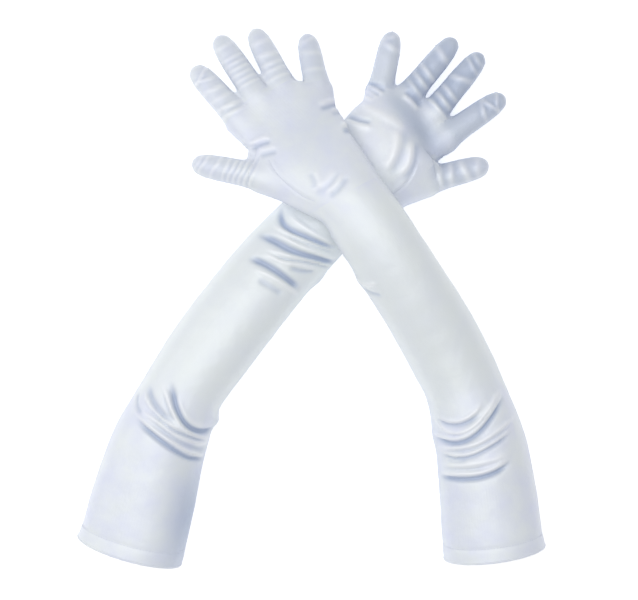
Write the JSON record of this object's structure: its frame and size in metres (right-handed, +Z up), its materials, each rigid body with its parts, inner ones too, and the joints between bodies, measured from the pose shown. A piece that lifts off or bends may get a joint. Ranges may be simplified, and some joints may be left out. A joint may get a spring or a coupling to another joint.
{
  "type": "opera gloves",
  "caption": "Pair of long satin opera gloves, reaching above the elbow, laid crossed with the palms up; fingers, thumbs and elbows bend.",
  "frame": {"origin": "on the table under the middle of the pair's outline", "axes": "+Z up from the table, +Y from the cuffs towards the fingertips, +X towards the left glove's cuff"},
  "size_m": [0.414, 0.4711, 0.0868],
  "materials": {
    "satin": "white stretch satin",
    "thread": "white sewing thread"
  },
  "bodies": {
    "right_glove": {"right_back_panel": "satin", "right_forearm_seam": "thread", "right_forearm_sleeve": "satin", "right_palm_panel": "satin"},
    "right_upper_arm": {"right_hem_stitching": "thread", "right_turned_hem": "satin", "right_upper_seam": "thread", "right_upper_sleeve": "satin"},
    "right_index": {"right_index_back": "satin", "right_index_front": "satin", "right_index_little_side_strip": "satin"},
    "right_middle": {"right_middle_back": "satin", "right_middle_front": "satin", "right_middle_little_side_strip": "satin", "right_middle_thumb_side_strip": "satin"},
    "right_ring": {"right_ring_back": "satin", "right_ring_front": "satin", "right_ring_little_side_strip": "satin", "right_ring_thumb_side_strip": "satin"},
    "right_little": {"right_little_back": "satin", "right_little_front": "satin", "right_little_thumb_side_strip": "satin"},
    "right_thumb": {"right_thumb": "satin", "right_thumb_seam": "thread"},
    "left_glove": {"left_back_panel": "satin", "left_forearm_seam": "thread", "left_forearm_sleeve": "satin", "left_palm_panel": "satin"},
    "left_upper_arm": {"left_hem_stitching": "thread", "left_turned_hem": "satin", "left_upper_seam": "thread", "left_upper_sleeve": "satin"},
    "left_index": {"left_index_back": "satin", "left_index_front": "satin", "left_index_little_side_strip": "satin"},
    "left_middle": {"left_middle_back": "satin", "left_middle_front": "satin", "left_middle_little_side_strip": "satin", "left_middle_thumb_side_strip": "satin"},
    "left_ring": {"left_ring_back": "satin", "left_ring_front": "satin", "left_ring_little_side_strip": "satin", "left_ring_thumb_side_strip": "satin"},
    "left_little": {"left_little_back": "satin", "left_little_front": "satin", "left_little_thumb_side_strip": "satin"},
    "left_thumb": {"left_thumb": "satin", "left_thumb_seam": "thread"}
  },
  "joints": [
    {"name": "right_elbow_bend", "type": "hinge", "parent": "right_glove", "child": "right_upper_arm", "pos_m": [-0.1248, -0.1033, 0.0262], "axis": [0, 0, 1], "range_deg": [-18, 18]},
    {"name": "right_index_curl", "type": "hinge", "parent": "right_glove", "child": "right_index", "pos_m": [0.11825, 0.13815, 0.0254], "axis": [0.5721, -0.8202, 0], "range_deg": [0, 75]},
    {"name": "right_middle_curl", "type": "hinge", "parent": "right_glove", "child": "right_middle", "pos_m": [0.1068, 0.15975, 0.0254], "axis": [0.7705, -0.6374, 0], "range_deg": [0, 75]},
    {"name": "right_ring_curl", "type": "hinge", "parent": "right_glove", "child": "right_ring", "pos_m": [0.08475, 0.17325, 0.0254], "axis": [0.7713, -0.6365, 0], "range_deg": [0, 75]},
    {"name": "right_little_curl", "type": "hinge", "parent": "right_glove", "child": "right_little", "pos_m": [0.06065, 0.1782, 0.0254], "axis": [0.9771, -0.2126, 0], "range_deg": [0, 75]},
    {"name": "right_thumb_curl", "type": "hinge", "parent": "right_glove", "child": "right_thumb", "pos_m": [0.10325, 0.09795, 0.026], "axis": [0.2555, -0.9668, 0], "range_deg": [0, 50]},
    {"name": "left_glove_lift", "type": "slide", "parent": "right_glove", "child": "left_glove", "axis": [0, 0, 1], "range_m": [0, 0.12]},
    {"name": "left_elbow_bend", "type": "hinge", "parent": "left_glove", "child": "left_upper_arm", "pos_m": [0.143, -0.1018, 0.0262], "axis": [0, 0, -1], "range_deg": [-18, 18]},
    {"name": "left_index_curl", "type": "hinge", "parent": "left_glove", "child": "left_index", "pos_m": [-0.06245, 0.1521, 0.044], "axis": [0.7462, 0.6657, 0], "range_deg": [0, 75]},
    {"name": "left_middle_curl", "type": "hinge", "parent": "left_glove", "child": "left_middle", "pos_m": [-0.0449, 0.1683, 0.044], "axis": [0.8366, 0.5479, 0], "range_deg": [0, 75]},
    {"name": "left_ring_curl", "type": "hinge", "parent": "left_glove", "child": "left_ring", "pos_m": [-0.02125, 0.1766, 0.044], "axis": [0.891, 0.454, 0], "range_deg": [0, 75]},
    {"name": "left_little_curl", "type": "hinge", "parent": "left_glove", "child": "left_little", "pos_m": [0.0053, 0.1775, 0.044], "axis": [0.9799, 0.1994, 0], "range_deg": [0, 75]},
    {"name": "left_thumb_curl", "type": "hinge", "parent": "left_glove", "child": "left_thumb", "pos_m": [-0.04465, 0.09945, 0.0585], "axis": [0.1961, 0.9806, 0], "range_deg": [0, 50]}
  ]
}
